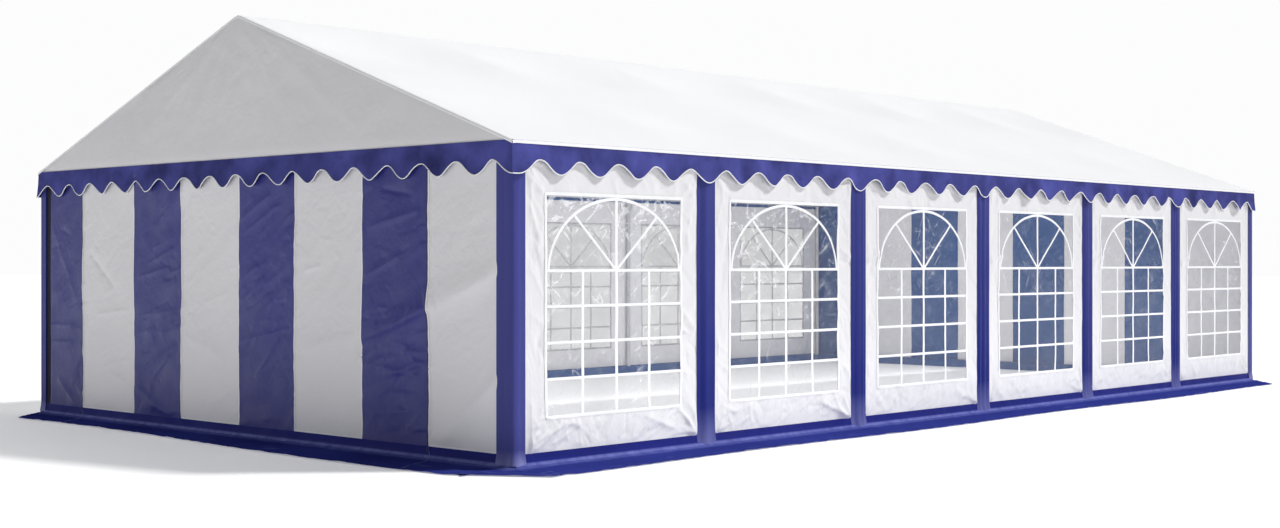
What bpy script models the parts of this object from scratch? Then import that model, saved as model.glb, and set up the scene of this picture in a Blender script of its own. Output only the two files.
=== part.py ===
"""Party tent, 6 x 12 m, with a steel tube frame and PVC covers.

A side frame of seven posts, an eave tube and a ground bar stands under each eave. Seven pairs of
rafters, 2 m apart, span between the side frames and carry a ridge tube and two purlins. A folded
roof sheet lies over them, with a white triangle in each gable and a blue scalloped valance along
each edge. Each bay of a long side is closed by a white wall with a large window, each end by a
striped wall whose middle part is a zipped door flap. Blue covers hide the posts, and a blue skirt
lies on the ground all round.

Metres, +Z up. The origin is on the ground at the middle of the tent. X runs along the ridge,
from the front end at -X to the back end at +X. The right side is at -Y, the left side at +Y.
"""

import math

import bmesh
import bpy
from mathutils import Matrix, Vector

# Driving dimensions
BAY = 2.0
BAYS = 6
WIDTH = 6.0
RIDGE_TOP = 3.32
ROOF_FALL = 0.371
ROOF_EDGE = 0.05
TUBE_RADIUS = 0.025
SOCKET_RADIUS = 0.029
SHEET = 0.003
ROOF_SHEET = 0.004
GAP = 0.0003

# Frame details
TUBE_SIDES = 12
SOCKET_LENGTH = 0.08
LINE_END_INSET = 0.03
SLEEVE_RADIUS = 0.0285
SLEEVE_START = 0.012
SLEEVE_LENGTH = 0.18
POST_TOP_REACH = 0.012
PLATE_LENGTH = 0.12
PLATE_THICKNESS = 0.005
PLATE_HALF_WIDTH = 0.02
GROUND_BAR_HEIGHT = 0.036

# Walls and windows
WALL_TOP = 2.15
WINDOW_WIDTH = 1.375
WINDOW_SILL = 0.34
WINDOW_HEIGHT = 1.475
FILM_MARGIN = 0.03
DOOR_HALF_WIDTH = 2.25

# Valance
SCALLOP_MEAN_DEPTH = 0.166
SCALLOP_SWING = 0.0485
SCALLOP_STEPS = 6
SIDE_SCALLOPS_PER_BAY = 5
END_SCALLOPS = 17

# Post covers
COVER_WIDTH = 0.215
COVER_BULGE = 0.010
COVER_STEPS = 8
COVER_TOP = 2.12
CORNER_COVER_SIDE = 0.12
CORNER_COVER_END = 0.15
CORNER_STEPS = 6

# Skirt
SKIRT_SIDE_REACH = 0.44
SKIRT_SIDE_WAVE = 0.03
SKIRT_SIDE_PERIOD = 4.5
SKIRT_SIDE_START = -6.1
SKIRT_SIDE_STOP = 5.66
SKIRT_SIDE_STEPS = 44
SKIRT_END_REACH = 0.46
SKIRT_END_WAVE = 0.085
SKIRT_END_PERIOD = 7.0
SKIRT_END_START = 2.774
SKIRT_END_STOP = -2.9
SKIRT_END_STEPS = 22

# Derived places
HALF_LENGTH = BAY * BAYS / 2
HALF_WIDTH = WIDTH / 2
SLOPE = math.atan(ROOF_FALL)
SKIN = SOCKET_RADIUS + GAP
EDGE_X = HALF_LENGTH + ROOF_EDGE
EDGE_Y = HALF_WIDTH + ROOF_EDGE
RIDGE_AXIS = RIDGE_TOP - (SKIN + ROOF_SHEET) / math.cos(SLOPE)
EAVE_AXIS = RIDGE_AXIS - ROOF_FALL * HALF_WIDTH
PURLIN_Y = HALF_WIDTH / 2
PURLIN_AXIS = RIDGE_AXIS - ROOF_FALL * PURLIN_Y
VALANCE_TOP = RIDGE_TOP - ROOF_FALL * EDGE_Y - ROOF_SHEET / math.cos(SLOPE) - GAP
LINE_HALF_LENGTH = HALF_LENGTH - LINE_END_INSET
SIDES = (("right", -1), ("left", 1))
ENDS = (("front", -1), ("back", 1))

# Axes of the flat outlines: the outline's own X, Y and thickness directions in the tent
ALONG_SIDE = Matrix(((1, 0, 0), (0, 0, -1), (0, 1, 0))).to_4x4()
ACROSS_END = Matrix(((0, 0, 1), (1, 0, 0), (0, 1, 0))).to_4x4()


def start_empty():
    """Remove whatever the scene holds."""
    for item in list(bpy.data.objects):
        bpy.data.objects.remove(item, do_unlink=True)


def new_collection(name):
    collection = bpy.data.collections.new(name)
    bpy.context.scene.collection.children.link(collection)
    return collection


def principled(name, colour, roughness, metallic=0.0, transmission=0.0):
    """One plain material of the tent."""
    material = bpy.data.materials.new(name)
    material.use_nodes = True
    shader = material.node_tree.nodes["Principled BSDF"]
    shader.inputs["Base Color"].default_value = (*colour, 1.0)
    shader.inputs["Roughness"].default_value = roughness
    shader.inputs["Metallic"].default_value = metallic
    shader.inputs["Transmission Weight"].default_value = transmission
    return material


def tube(name, start, end, radius, collection):
    """A straight round tube between two points, with corners on the tent's own axes."""
    start = Vector(start)
    run = Vector(end) - start
    mesh = bpy.data.meshes.new(name)
    shape = bmesh.new()
    bmesh.ops.create_cone(shape, cap_ends=True, segments=TUBE_SIDES, radius1=radius,
                          radius2=radius, depth=run.length)
    turn = run.to_track_quat("Z", "Y").to_matrix().to_4x4()
    bmesh.ops.transform(shape, matrix=Matrix.Translation(start + run / 2) @ turn, verts=shape.verts)
    shape.to_mesh(mesh)
    shape.free()
    item = bpy.data.objects.new(name, mesh)
    collection.objects.link(item)
    return item


def slab(name, low, high, collection):
    """A box between its lowest and highest corner."""
    low = Vector(low)
    high = Vector(high)
    mesh = bpy.data.meshes.new(name)
    shape = bmesh.new()
    bmesh.ops.create_cube(shape, size=1.0)
    bmesh.ops.scale(shape, vec=high - low, verts=shape.verts)
    bmesh.ops.translate(shape, vec=(low + high) / 2, verts=shape.verts)
    shape.to_mesh(mesh)
    shape.free()
    item = bpy.data.objects.new(name, mesh)
    collection.objects.link(item)
    return item


def flat_outline(name, outlines, thickness, place, collection):
    """A flat sheet from closed outlines; outlines after the first are holes in it."""
    curve = bpy.data.curves.new(name, "CURVE")
    curve.dimensions = "2D"
    curve.fill_mode = "BOTH"
    curve.extrude = thickness / 2
    for outline in outlines:
        spline = curve.splines.new("POLY")
        spline.points.add(len(outline) - 1)
        for point, (across, up) in zip(spline.points, outline):
            point.co = (across, up, 0.0, 1.0)
        spline.use_cyclic_u = True
    item = bpy.data.objects.new(name, curve)
    item.matrix_world = place
    collection.objects.link(item)
    return item


def as_mesh(source, name):
    """The evaluated mesh of an object, welded, in the tent's own coordinates."""
    depsgraph = bpy.context.evaluated_depsgraph_get()
    mesh = bpy.data.meshes.new_from_object(source.evaluated_get(depsgraph))
    mesh.name = name
    shape = bmesh.new()
    shape.from_mesh(mesh)
    bmesh.ops.remove_doubles(shape, verts=shape.verts, dist=0.00001)
    bmesh.ops.transform(shape, matrix=source.matrix_world, verts=shape.verts)
    shape.to_mesh(mesh)
    shape.free()
    return mesh


def joined(name, pieces, cutters):
    """One mesh from a collection of overlapping pieces, less a collection of cutters if any."""
    first = pieces.objects[0]
    pieces.objects.unlink(first)
    union = first.modifiers.new("join", "BOOLEAN")
    union.operation = "UNION"
    union.operand_type = "COLLECTION"
    union.collection = pieces
    if cutters is not None:
        cut = first.modifiers.new("bore", "BOOLEAN")
        cut.operation = "DIFFERENCE"
        cut.operand_type = "COLLECTION"
        cut.collection = cutters
    bpy.context.scene.collection.objects.link(first)
    bpy.context.view_layer.update()
    mesh = as_mesh(first, name)
    for item in [first, *pieces.objects]:
        bpy.data.objects.remove(item, do_unlink=True)
    bpy.data.collections.remove(pieces)
    return mesh


def hide_guides(collection):
    """Cutters stay in the file as wire guides only."""
    for item in collection.objects:
        item.hide_render = True
        item.display_type = "WIRE"


def shade(mesh, material):
    """Give the mesh its material, with round faces smooth and edges sharp."""
    mesh.materials.clear()
    mesh.materials.append(material)
    mesh.shade_smooth()
    mesh.set_sharp_from_angle(angle=math.radians(35))


def line_places():
    """Name, Y and height of each long tube that runs through all the rafters."""
    places = [("ridge_tube", 0.0, RIDGE_AXIS)]
    for side, sign in SIDES:
        places.append((f"purlin_{side}", sign * PURLIN_Y, PURLIN_AXIS))
    return places


def side_frame_mesh():
    """Posts, eave tube and ground bar of one side, with their fittings, standing at Y = 0."""
    pieces = new_collection("side_frame")
    heights = (EAVE_AXIS, GROUND_BAR_HEIGHT)
    for height in heights:
        start = (-LINE_HALF_LENGTH, 0, height)
        tube("rail", start, (LINE_HALF_LENGTH, 0, height), TUBE_RADIUS, pieces)
    for number in range(BAYS + 1):
        along = number * BAY - HALF_LENGTH
        socket_from = max(along - SOCKET_LENGTH, -HALF_LENGTH)
        socket_to = min(along + SOCKET_LENGTH, HALF_LENGTH)
        tube("post", (along, 0, PLATE_THICKNESS / 2), (along, 0, EAVE_AXIS + POST_TOP_REACH),
             TUBE_RADIUS, pieces)
        tube("sleeve", (along, 0, EAVE_AXIS - SLEEVE_LENGTH), (along, 0, EAVE_AXIS - SLEEVE_START),
             SLEEVE_RADIUS, pieces)
        for height in heights:
            tube("socket", (socket_from, 0, height), (socket_to, 0, height), SOCKET_RADIUS, pieces)
        plate_from = max(along - PLATE_LENGTH / 2, -HALF_LENGTH - PLATE_HALF_WIDTH)
        plate_from = min(plate_from, HALF_LENGTH + PLATE_HALF_WIDTH - PLATE_LENGTH)
        slab("foot_plate", (plate_from, -PLATE_HALF_WIDTH, 0),
             (plate_from + PLATE_LENGTH, PLATE_HALF_WIDTH, PLATE_THICKNESS), pieces)
    return joined("side_frame", pieces, None)


def side_frames(tent, steel):
    """The same frame under each eave."""
    mesh = side_frame_mesh()
    shade(mesh, steel)
    for side, sign in SIDES:
        frame = bpy.data.objects.new(f"side_frame_{side}", mesh)
        frame.location.y = sign * HALF_WIDTH
        tent.objects.link(frame)


def rafter_pair_mesh(name, socket_from, bore_from):
    """Two rafters that meet at X = 0, with sleeves, and sockets bored for the long tubes."""
    pieces = new_collection(name)
    cutters = new_collection("bores_" + name)
    ridge = Vector((0, 0, RIDGE_AXIS))
    for _, sign in SIDES:
        eave = Vector((0, sign * HALF_WIDTH, EAVE_AXIS))
        uphill = (ridge - eave).normalized()
        foot = eave + uphill * SKIN
        tube("rafter", foot + uphill * SLEEVE_START, ridge, TUBE_RADIUS, pieces)
        tube("eave_sleeve", foot, eave + uphill * SLEEVE_LENGTH, SLEEVE_RADIUS, pieces)
        tube("ridge_sleeve", ridge - uphill * SLEEVE_LENGTH, ridge - uphill * SLEEVE_START,
             SLEEVE_RADIUS, pieces)
    for _, across, height in line_places():
        tube("socket", (socket_from, across, height), (SOCKET_LENGTH, across, height),
             SOCKET_RADIUS, pieces)
        tube("bore_" + name, (bore_from, across, height), (2 * SOCKET_LENGTH, across, height),
             TUBE_RADIUS + GAP, cutters)
    mesh = joined(name, pieces, cutters)
    hide_guides(cutters)
    return mesh


def rafter_pairs(tent, steel):
    """Seven pairs; the long tubes run through the middle ones and end in the two end ones."""
    middle = rafter_pair_mesh("middle_rafters", -SOCKET_LENGTH, -2 * SOCKET_LENGTH)
    end = rafter_pair_mesh("end_rafters", 0.0, LINE_END_INSET - GAP)
    shade(middle, steel)
    shade(end, steel)
    for number in range(BAYS + 1):
        at_end = number in (0, BAYS)
        pair = bpy.data.objects.new(f"rafter_pair_{number + 1}", end if at_end else middle)
        pair.location.x = number * BAY - HALF_LENGTH
        if number == BAYS:
            pair.rotation_euler.z = math.pi
        tent.objects.link(pair)


def long_tubes(tent, steel):
    """The ridge tube, the purlins and the ground bars across the two ends."""
    for name, across, height in line_places():
        start = (-LINE_HALF_LENGTH, across, height)
        end = (LINE_HALF_LENGTH, across, height)
        shade(tube(name, start, end, TUBE_RADIUS, tent).data, steel)
    for end, sign in ENDS:
        start = (sign * HALF_LENGTH, -HALF_WIDTH + SKIN, GROUND_BAR_HEIGHT)
        stop = (sign * HALF_LENGTH, HALF_WIDTH - SKIN, GROUND_BAR_HEIGHT)
        shade(tube(f"ground_bar_{end}", start, stop, TUBE_RADIUS, tent).data, steel)


def roof_cover(tent, white):
    """One folded sheet over the ridge, lying on the sockets."""
    eave_top = RIDGE_TOP - ROOF_FALL * EDGE_Y
    drop = ROOF_SHEET / math.cos(SLOPE)
    section = [(-EDGE_Y, eave_top), (0, RIDGE_TOP), (EDGE_Y, eave_top),
               (EDGE_Y, eave_top - drop), (0, RIDGE_TOP - drop), (-EDGE_Y, eave_top - drop)]
    roof = flat_outline("roof_cover", [section], 2 * EDGE_X, ACROSS_END, tent)
    roof.data.materials.append(white)


def gables(tent, white):
    """A white triangle in each gable, between the roof sheet and the valance."""
    foot = VALANCE_TOP + GAP
    apex = RIDGE_TOP - (ROOF_SHEET + GAP) / math.cos(SLOPE)
    reach = (apex - foot) / ROOF_FALL
    triangle = [(-reach, foot), (reach, foot), (0, apex)]
    for end, sign in ENDS:
        place = Matrix.Translation((sign * (EDGE_X - SHEET / 2), 0, 0)) @ ACROSS_END
        gable = flat_outline(f"gable_{end}", [triangle], SHEET, place, tent)
        gable.data.materials.append(white)


def scalloped_strip(name, half_run, pitch, lobes_up_to, place, tent, blue):
    """A flat strip with a waved lower edge; waves stop at the outermost lobes."""
    steps = round(2 * lobes_up_to / pitch) * SCALLOP_STEPS
    lower = [-half_run]
    lower += [lobes_up_to * (2 * step / steps - 1) for step in range(1, steps)]
    lower += [half_run]
    outline = [(half_run, VALANCE_TOP), (-half_run, VALANCE_TOP)]
    for across in lower:
        from_lobe = max(0.0, lobes_up_to - abs(across))
        wave = SCALLOP_SWING * math.cos(2 * math.pi * from_lobe / pitch)
        outline.append((across, VALANCE_TOP - SCALLOP_MEAN_DEPTH - wave))
    strip = flat_outline(name, [outline], SHEET, place, tent)
    strip.data.materials.append(blue)


def valances(tent, blue):
    """A scalloped strip along each edge of the roof; those of the ends fit between the others."""
    end_run = EDGE_Y - SHEET - GAP
    for side, sign in SIDES:
        place = Matrix.Translation((0, sign * (EDGE_Y - SHEET / 2), 0)) @ ALONG_SIDE
        scalloped_strip(f"valance_{side}", EDGE_X, BAY / SIDE_SCALLOPS_PER_BAY, HALF_LENGTH, place,
                        tent, blue)
    for end, sign in ENDS:
        place = Matrix.Translation((sign * (EDGE_X - SHEET / 2), 0, 0)) @ ACROSS_END
        scalloped_strip(f"valance_{end}", end_run, 2 * end_run / END_SCALLOPS, end_run, place,
                        tent, blue)


def rectangle(half_across, low, high, middle=0.0):
    return [(middle - half_across, low), (middle + half_across, low),
            (middle + half_across, high), (middle - half_across, high)]


def side_walls(tent, white):
    """One wall with a window opening in each bay of the long sides."""
    foot = SHEET + GAP
    for side, sign in SIDES:
        place = Matrix.Translation((0, sign * (HALF_WIDTH + SKIN + SHEET / 2), 0)) @ ALONG_SIDE
        for number in range(BAYS):
            middle = (number + 0.5) * BAY - HALF_LENGTH
            outer = rectangle(BAY / 2 - GAP / 2, foot, WALL_TOP, middle)
            window = rectangle(WINDOW_WIDTH / 2, WINDOW_SILL, WINDOW_SILL + WINDOW_HEIGHT, middle)
            name = f"side_wall_{side}_{number + 1}"
            wall = flat_outline(name, [outer, window], SHEET, place, tent)
            wall.data.materials.append(white)


def window_films(tent, film):
    """One clear sheet behind each row of windows."""
    reach = HALF_LENGTH - (BAY - WINDOW_WIDTH) / 2 + FILM_MARGIN
    outer = HALF_WIDTH + SKIN - GAP
    low = WINDOW_SILL - FILM_MARGIN
    high = WINDOW_SILL + WINDOW_HEIGHT + FILM_MARGIN
    for side, sign in SIDES:
        low_y, high_y = sorted((sign * outer, sign * (outer - SHEET)))
        sheet = slab(f"window_film_{side}", (-reach, low_y, low), (reach, high_y, high), tent)
        shade(sheet.data, film)


def end_walls(tent, blue, white):
    """Two fixed strips and a zipped door flap in each end."""
    foot = SHEET + GAP
    inner = HALF_LENGTH + SKIN
    stretches = [("wall_left", DOOR_HALF_WIDTH + GAP, HALF_WIDTH, blue),
                 ("door_flap", -DOOR_HALF_WIDTH, DOOR_HALF_WIDTH, white),
                 ("wall_right", -HALF_WIDTH, -DOOR_HALF_WIDTH - GAP, white)]
    for end, sign in ENDS:
        low_x, high_x = sorted((sign * inner, sign * (inner + SHEET)))
        for part, low_y, high_y, material in stretches:
            wall = slab(f"{end}_{part}", (low_x, low_y, foot), (high_x, high_y, WALL_TOP), tent)
            shade(wall.data, material)


def post_covers(tent, blue):
    """A bulging blue strip over each post between two bays."""
    inner = HALF_WIDTH + SKIN + SHEET + GAP
    middle_height = (COVER_TOP + SHEET + GAP) / 2
    height = COVER_TOP - SHEET - GAP
    for side, sign in SIDES:
        for number in range(1, BAYS):
            outer_edge = []
            inner_edge = []
            for step in range(COVER_STEPS + 1):
                across = COVER_WIDTH * (step / COVER_STEPS - 0.5)
                bulge = COVER_BULGE * math.cos(math.pi * across / COVER_WIDTH) ** 2
                inner_edge.append((across, sign * (inner + bulge)))
                outer_edge.append((across, sign * (inner + bulge + SHEET)))
            section = inner_edge + outer_edge[::-1]
            place = Matrix.Translation((number * BAY - HALF_LENGTH, 0, middle_height))
            name = f"post_cover_{side}_{number}"
            cover = flat_outline(name, [section], height, place, tent)
            cover.data.materials.append(blue)


def corner_section(offset):
    """The line of a corner cover at one offset from the post's axis, from side to end."""
    line = [(-(CORNER_COVER_SIDE - ROOF_EDGE), offset)]
    for step in range(CORNER_STEPS + 1):
        angle = math.pi / 2 * (1 - step / CORNER_STEPS)
        line.append((offset * math.cos(angle), offset * math.sin(angle)))
    line.append((offset, -(CORNER_COVER_END - ROOF_EDGE)))
    return line


def corner_covers(tent, blue):
    """A blue strip bent round each corner post."""
    inner = SKIN + SHEET + GAP
    middle_height = (COVER_TOP + SHEET + GAP) / 2
    height = COVER_TOP - SHEET - GAP
    for end, x_sign in ENDS:
        for side, y_sign in SIDES:
            section = corner_section(inner) + corner_section(inner + SHEET)[::-1]
            section = [(x_sign * along, y_sign * across) for along, across in section]
            place = Matrix.Translation((x_sign * HALF_LENGTH, y_sign * HALF_WIDTH, middle_height))
            name = f"corner_cover_{end}_{side}"
            cover = flat_outline(name, [section], height, place, tent)
            cover.data.materials.append(blue)


def skirt_half():
    """Outer edge of the skirt along the front end and the right side."""
    edge = []
    for step in range(SKIRT_END_STEPS + 1):
        across = SKIRT_END_START + (SKIRT_END_STOP - SKIRT_END_START) * step / SKIRT_END_STEPS
        wave = SKIRT_END_WAVE * math.sin(2 * math.pi * across / SKIRT_END_PERIOD)
        edge.append((-HALF_LENGTH - SKIRT_END_REACH + wave, across))
    for step in range(SKIRT_SIDE_STEPS + 1):
        along = SKIRT_SIDE_START + (SKIRT_SIDE_STOP - SKIRT_SIDE_START) * step / SKIRT_SIDE_STEPS
        wave = SKIRT_SIDE_WAVE * math.cos(2 * math.pi * (along + HALF_LENGTH) / SKIRT_SIDE_PERIOD)
        edge.append((along, -HALF_WIDTH - SKIRT_SIDE_REACH - wave))
    return edge


def ground_skirt(tent, blue):
    """A flat band on the ground with cut corners; its second half is the first turned round."""
    half = skirt_half()
    outer = half + [(-along, -across) for along, across in half]
    inner = rectangle(HALF_LENGTH + SKIN - GAP, -HALF_WIDTH - SKIN + GAP, HALF_WIDTH + SKIN - GAP)
    place = Matrix.Translation((0, 0, SHEET / 2))
    skirt = flat_outline("ground_skirt", [outer, inner], SHEET, place, tent)
    skirt.data.materials.append(blue)


def main():
    start_empty()
    tent = new_collection("party_tent")
    white = principled("white_pvc", (0.86, 0.86, 0.87), 0.45)
    blue = principled("blue_pvc", (0.03, 0.03, 0.25), 0.45)
    film = principled("clear_film", (0.9, 0.92, 0.94), 0.08, transmission=0.9)
    steel = principled("galvanised_steel", (0.55, 0.56, 0.58), 0.4, metallic=1.0)
    side_frames(tent, steel)
    rafter_pairs(tent, steel)
    long_tubes(tent, steel)
    roof_cover(tent, white)
    gables(tent, white)
    valances(tent, blue)
    side_walls(tent, white)
    window_films(tent, film)
    end_walls(tent, blue, white)
    post_covers(tent, blue)
    corner_covers(tent, blue)
    ground_skirt(tent, blue)


main()
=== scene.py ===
import math

import bpy
import numpy as np
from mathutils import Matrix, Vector

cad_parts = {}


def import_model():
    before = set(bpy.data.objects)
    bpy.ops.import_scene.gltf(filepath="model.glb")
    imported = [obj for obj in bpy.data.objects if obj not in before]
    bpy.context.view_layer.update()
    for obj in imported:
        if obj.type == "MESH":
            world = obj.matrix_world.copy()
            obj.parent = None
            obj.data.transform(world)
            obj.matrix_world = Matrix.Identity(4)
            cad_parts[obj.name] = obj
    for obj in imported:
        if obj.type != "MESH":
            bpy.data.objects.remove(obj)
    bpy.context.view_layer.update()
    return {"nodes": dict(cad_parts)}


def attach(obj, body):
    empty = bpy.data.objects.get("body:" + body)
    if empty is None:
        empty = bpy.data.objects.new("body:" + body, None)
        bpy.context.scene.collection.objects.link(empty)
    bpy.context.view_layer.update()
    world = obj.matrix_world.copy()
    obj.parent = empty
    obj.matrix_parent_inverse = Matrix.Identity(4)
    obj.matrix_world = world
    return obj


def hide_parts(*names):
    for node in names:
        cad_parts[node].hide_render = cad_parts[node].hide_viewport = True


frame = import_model()

# Sizes that the CAD source states too
BAY = 2.0
BAYS = 6
HALF_LENGTH = 6.0
HALF_WIDTH = 3.0
EDGE_X = 6.05
EDGE_Y = 3.05
RIDGE_TOP = 3.32
ROOF_FALL = 0.371
ROOF_EDGE = RIDGE_TOP - ROOF_FALL * EDGE_Y
WALL_TOP = 2.15
WINDOW_SILL = 0.34
PURLIN_Y = 1.5

# The window as the photograph shows it, a little larger than the hole in the source
WINDOW_HALF = 0.700
WINDOW_TOP = 1.830

# How far the walls and the covers stand outside the post axes
SHEET_OFFSET = 0.0308
COVER_OFFSET = 0.0345

# Heights where the walls start, where their blue top edge starts, and where zips and hems end
PANEL_FOOT = 0.092
EAVE_BAND = 2.112
HEM_TOP = 2.07

SIDES = ("right", "left")
ENDS = ("front", "back")
AROUND = SIDES + ENDS

# The sides that the photograph shows, and those where a grid's faces have to be turned over
NEAR = ("right", "front")
FLIPPED = ("left", "front")

# Half of each side's length along the post axes, and its distance from the middle
SPAN = {"right": (HALF_LENGTH, HALF_WIDTH), "left": (HALF_LENGTH, HALF_WIDTH),
        "front": (HALF_WIDTH, HALF_LENGTH), "back": (HALF_WIDTH, HALF_LENGTH)}


# Helpers for shapes

def world(side, along, out, up):
    """Points of one side of the tent: along it, outwards from the tent's middle, and up."""
    along, out, up = np.broadcast_arrays(along, out, up)
    if side in NEAR:
        out = -out
    return np.stack([along, out, up] if side in SIDES else [out, along, up], -1)


def spaced(stops, step):
    """Rising numbers through all the stops, about a step apart."""
    values = [np.array([stops[0]])]
    for low, high in zip(stops[:-1], stops[1:]):
        count = max(1, round((high - low) / step))
        values.append(np.linspace(low, high, count + 1)[1:])
    return np.concatenate(values)


def smooth_step(value):
    value = np.clip(value, 0.0, 1.0)
    return value * value * (3 - 2 * value)


def mesh_object(name, points, faces, material):
    mesh = bpy.data.meshes.new(name)
    mesh.from_pydata(points, [], faces)
    mesh.materials.append(material)
    mesh.shade_smooth()
    item = bpy.data.objects.new(name, mesh)
    bpy.context.scene.collection.objects.link(item)
    return item


def grid_cells(grid):
    """For each cell of a grid of points, the numbers of its four corners."""
    rows, columns = grid.shape[:2]
    index = np.arange(rows * columns).reshape(rows, columns)
    return np.stack([index[:-1, :-1], index[:-1, 1:], index[1:, 1:], index[1:, :-1]], -1)


def grid_parts(grids):
    """Points and faces of several grids together."""
    points = []
    faces = []
    for grid in grids:
        faces += (grid_cells(grid).reshape(-1, 4) + len(points)).tolist()
        points += grid.reshape(-1, 3).tolist()
    return points, faces


def grid_object(name, points, material, keep=None, flip=False):
    """A sheet from a grid of points; keep says which of its cells exist."""
    cells = grid_cells(points)
    cells = cells.reshape(-1, 4) if keep is None else cells[keep]
    if flip:
        cells = cells[:, ::-1]
    used, faces = np.unique(cells, return_inverse=True)
    return mesh_object(name, points.reshape(-1, 3)[used].tolist(), faces.reshape(-1, 4).tolist(),
                       material)


def finished(piece, slot, *nodes):
    """Let a piece ride on the tent and let it stand for CAD nodes, which it hides; slot is not used.
    """
    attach(piece, "root")
    if nodes:
        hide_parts(*nodes)
    return piece


def outer(name, side, points, material, slot, *nodes, keep=None):
    """A sheet on one side of the tent that faces outwards."""
    piece = grid_object(name, points, material, keep, flip=side in FLIPPED)
    return finished(piece, slot, *nodes)


def painted_glow_sheet(name, side, points, keep=None):
    """A paler blue sheet just inside a blue sheet: painted light standing in for the daylight that
    comes through the fabric.
    """
    inner = points - world(side, 0.0, 0.004, 0.0)
    piece = grid_object(name, inner, glow_blue_pvc, keep, flip=side not in FLIPPED)
    return finished(piece, "blue_pvc")


# Helpers for folds

def noise(u, v, cell, seed):
    """Smooth noise of about -1 to 1 whose features are about a cell wide."""
    table = 61
    turns = np.random.default_rng(seed).uniform(0, 2 * math.pi, (table, table))
    x = u / cell
    y = v / cell
    column = np.floor(x).astype(int)
    row = np.floor(y).astype(int)
    total = np.zeros(np.broadcast(u, v).shape)
    for step_x in (0, 1):
        for step_y in (0, 1):
            turn = turns[(column + step_x) % table, (row + step_y) % table]
            away_x = x - column - step_x
            away_y = y - row - step_y
            weight_x = 1 - np.abs(away_x)
            weight_y = 1 - np.abs(away_y)
            weight = weight_x ** 3 * (weight_x * (weight_x * 6 - 15) + 10)
            weight = weight * weight_y ** 3 * (weight_y * (weight_y * 6 - 15) + 10)
            total += weight * (np.cos(turn) * away_x + np.sin(turn) * away_y)
    return 1.6 * total


def crumple(u, v, cell, seed, lean=0.0, stretch=1.0):
    """Ridges and hollows like those of creased foil, drawn out along a leaning direction."""
    a = (u * math.cos(lean) + v * math.sin(lean)) / stretch
    b = v * math.cos(lean) - u * math.sin(lean)
    drift = 0.4 * cell * noise(a, b, 2 * cell, seed + 1)
    return 1 - 2.4 * np.abs(noise(a + drift, b - drift, cell, seed))


def crease(u, v, start, end, height, width, lower=None, bow=0.0):
    """One crease between two points, with a width above it and maybe another one below."""
    run_u = end[0] - start[0]
    run_v = end[1] - start[1]
    length = math.hypot(run_u, run_v)
    up = 1 if run_u > 0 else -1
    along = ((u - start[0]) * run_u + (v - start[1]) * run_v) / length ** 2
    across = up * ((v - start[1]) * run_u - (u - start[0]) * run_v) / length
    taper = np.clip(4 * along * (1 - along), 0, 1)
    across = across + bow * length * taper
    flank = width if lower is None else np.where(across > 0, width, lower)
    blunt = 0.2 + 8 * width
    fall = np.exp(blunt - np.sqrt((across / flank) ** 2 + blunt ** 2))
    return height * np.sqrt(taper) * fall


def creases(u, v, rows):
    """Several creases, each with its start, its end, its height and its widths above and below."""
    total = 0.0 * u
    for start_u, start_v, end_u, end_v, height, width, lower in rows:
        total += crease(u, v, (start_u, start_v), (end_u, end_v), height, width, lower)
    return total


def scattered(u, v, seed, count, low, high, lean, spread, reach, height, width):
    """Many short creases inside a rectangle, each leaning about one way."""
    dice = np.random.default_rng(seed)
    total = np.zeros(np.broadcast(u, v).shape)
    for _ in range(count):
        middle_u = dice.uniform(low[0], high[0])
        middle_v = dice.uniform(low[1], high[1])
        angle = dice.normal(lean, spread)
        half = dice.uniform(0.35, 1.0) * reach / 2
        step_u = half * math.cos(angle)
        step_v = half * math.sin(angle)
        rise = dice.uniform(0.3, 1.0) * height * dice.choice((-1, 1))
        total += crease(u, v, (middle_u - step_u, middle_v - step_v),
                        (middle_u + step_u, middle_v + step_v), rise,
                        width * dice.uniform(0.7, 1.4), None, dice.normal(0, 0.06))
    return total


def fan(u, v, corner, inward, count, seed, reach, height, width):
    """Creases that run out of one corner, as where a sheet is tied down."""
    dice = np.random.default_rng(seed)
    total = np.zeros(np.broadcast(u, v).shape)
    for number in range(count):
        angle = inward + (number / max(1, count - 1) - 0.5) * 1.3 + dice.normal(0, 0.06)
        length = reach * dice.uniform(0.45, 1.0)
        end = (corner[0] + length * math.cos(angle), corner[1] + length * math.sin(angle))
        back = (corner[0] - 0.25 * length * math.cos(angle),
                corner[1] - 0.25 * length * math.sin(angle))
        total += crease(u, v, back, end, height * dice.uniform(0.5, 1.0), width, None,
                        dice.normal(0, 0.05))
    return total


# Materials

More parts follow.
